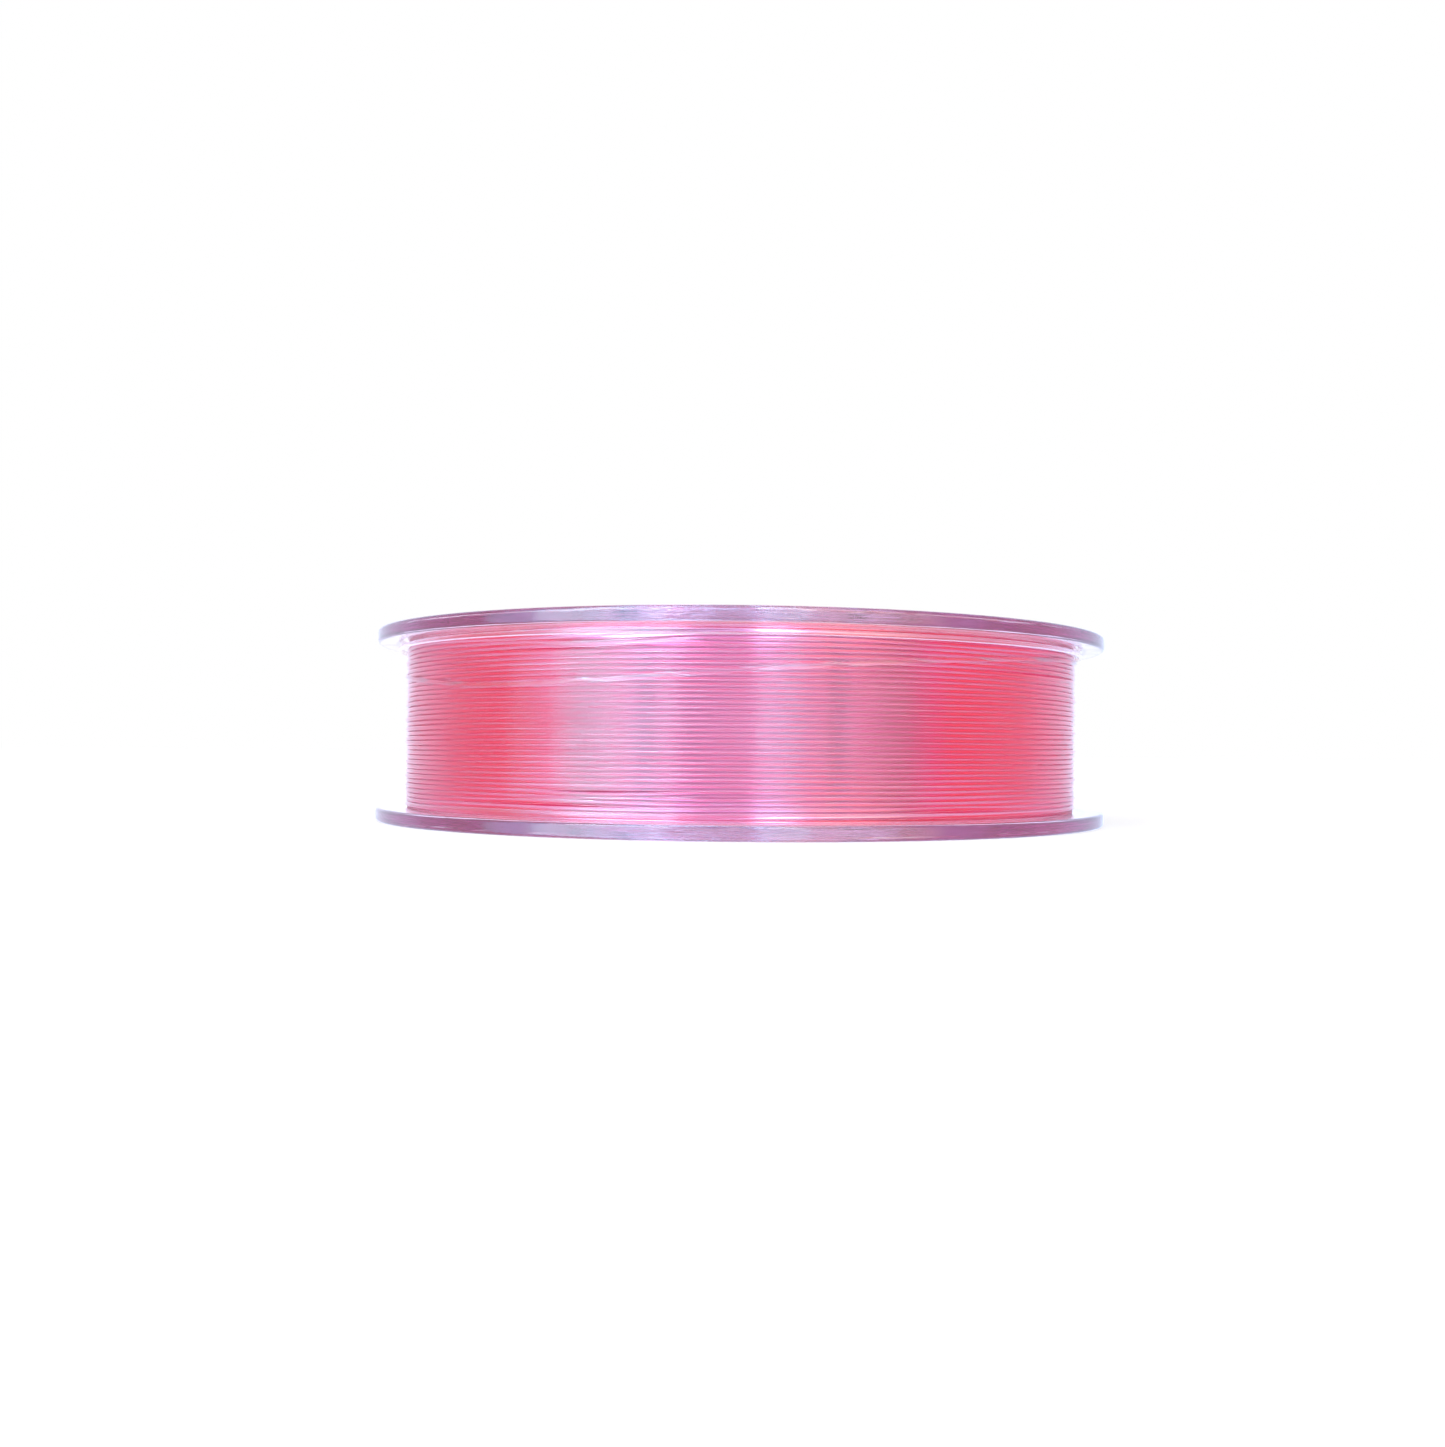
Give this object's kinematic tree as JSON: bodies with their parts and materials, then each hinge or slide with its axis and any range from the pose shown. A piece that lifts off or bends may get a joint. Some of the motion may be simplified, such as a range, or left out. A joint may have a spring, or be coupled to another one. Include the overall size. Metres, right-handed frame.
{
  "type": "fishing line spool",
  "caption": "Flat clear plastic leader spool: two thin flanges on a spoked drum with a plain bore, full of pink see-through monofilament line.",
  "frame": {"origin": "centre of the lower flange's outer face, on the spool's axis, where the spool rests", "axes": "+Z along the spool's axis, from the lower flange to the upper one; +X and +Y lie in the lower flange's face, and the pictured side faces -Y"},
  "size_m": [0.07, 0.07, 0.0176],
  "materials": {
    "clear_plastic": "clear moulded polystyrene with a faint lilac tint, polished",
    "pink_line": "see-through pink monofilament, glossy, close wound",
    "tape_film": "thin pale adhesive tape"
  },
  "bodies": {
    "root": {"lower_flange": "clear_plastic", "upper_flange": "clear_plastic", "hub_drum": "clear_plastic", "start_tape": "tape_film", "line_inner_layers": "pink_line", "line_outer_layer": "pink_line"}
  },
  "joints": []
}
